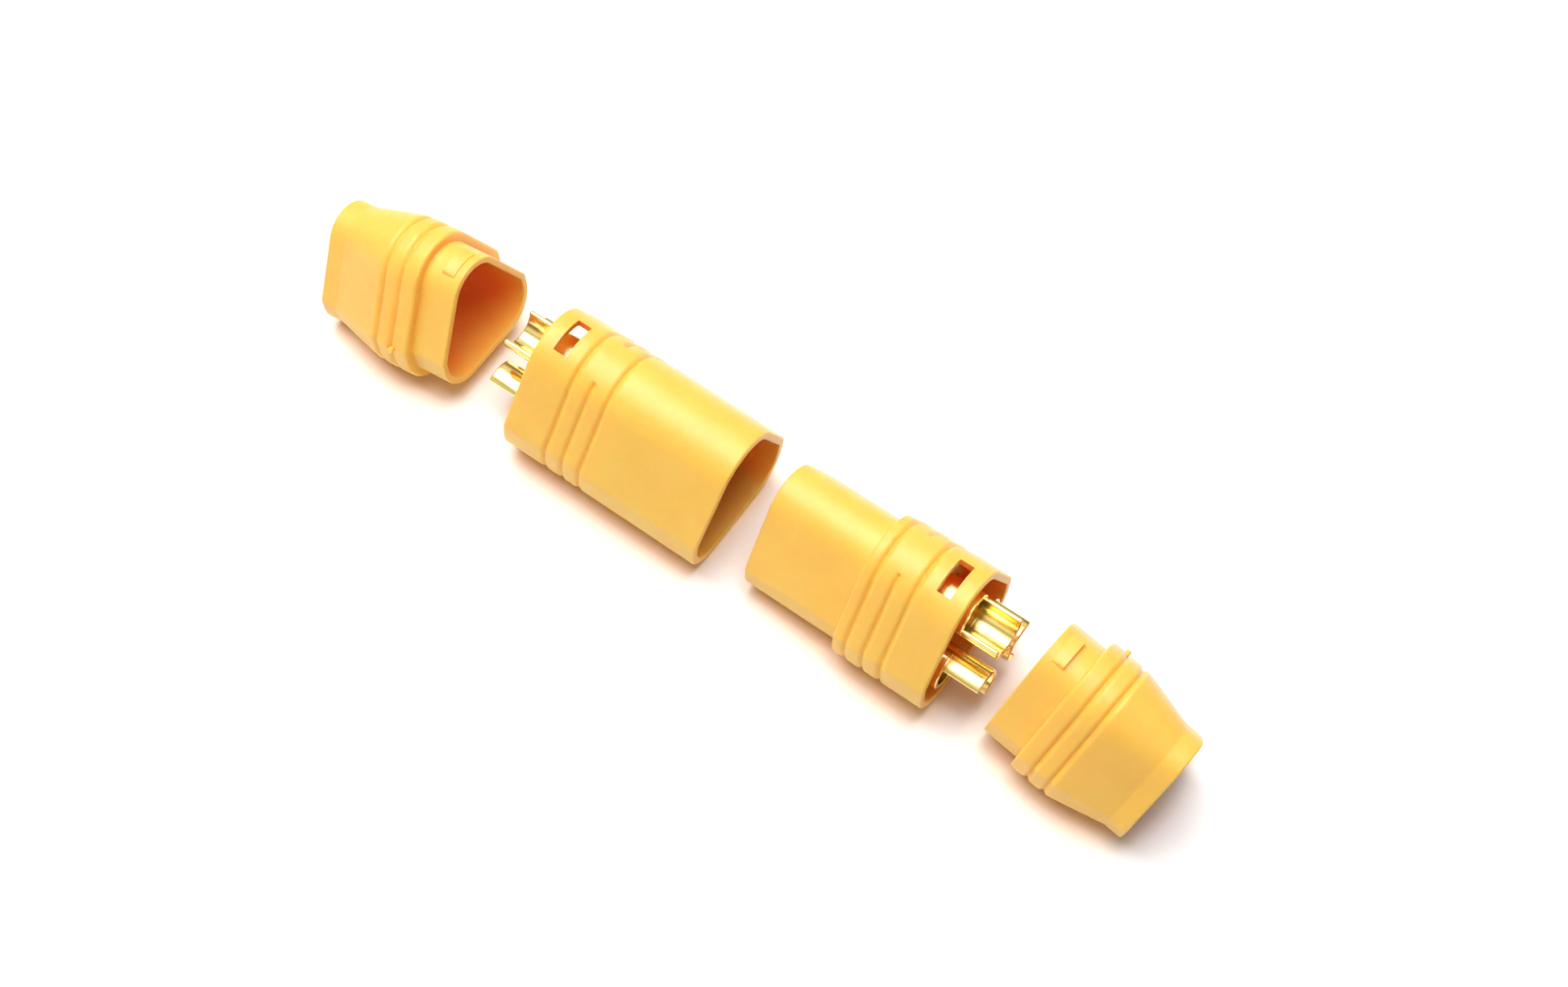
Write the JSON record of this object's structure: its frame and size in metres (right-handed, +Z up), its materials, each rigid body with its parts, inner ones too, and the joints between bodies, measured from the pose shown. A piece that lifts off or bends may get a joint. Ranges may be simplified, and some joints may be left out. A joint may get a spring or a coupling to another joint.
{
  "type": "three-pin motor connector",
  "caption": "Keyed bullet connector for motor leads: pin half with a long shroud, socket half with a stepped nose, and two flared cable caps, all lying apart in a row.",
  "frame": {"origin": "on the table, under the middle of the pin housing's flat foot", "axes": "+X along the pin half from its solder cups towards the socket half, +Z up from the table"},
  "size_m": [0.1001, 0.0171, 0.0165],
  "materials": {
    "housing": "satin moulded nylon",
    "contact": "gold flashed, polished"
  },
  "bodies": {
    "root": {"pin_housing": "housing", "socket_housing": "housing", "pin_side_cap": "housing", "socket_side_cap": "housing", "pin_contact_top": "contact", "pin_contact_left": "contact", "pin_contact_right": "contact", "socket_contact_top": "contact", "socket_contact_left": "contact", "socket_contact_right": "contact"}
  },
  "joints": []
}
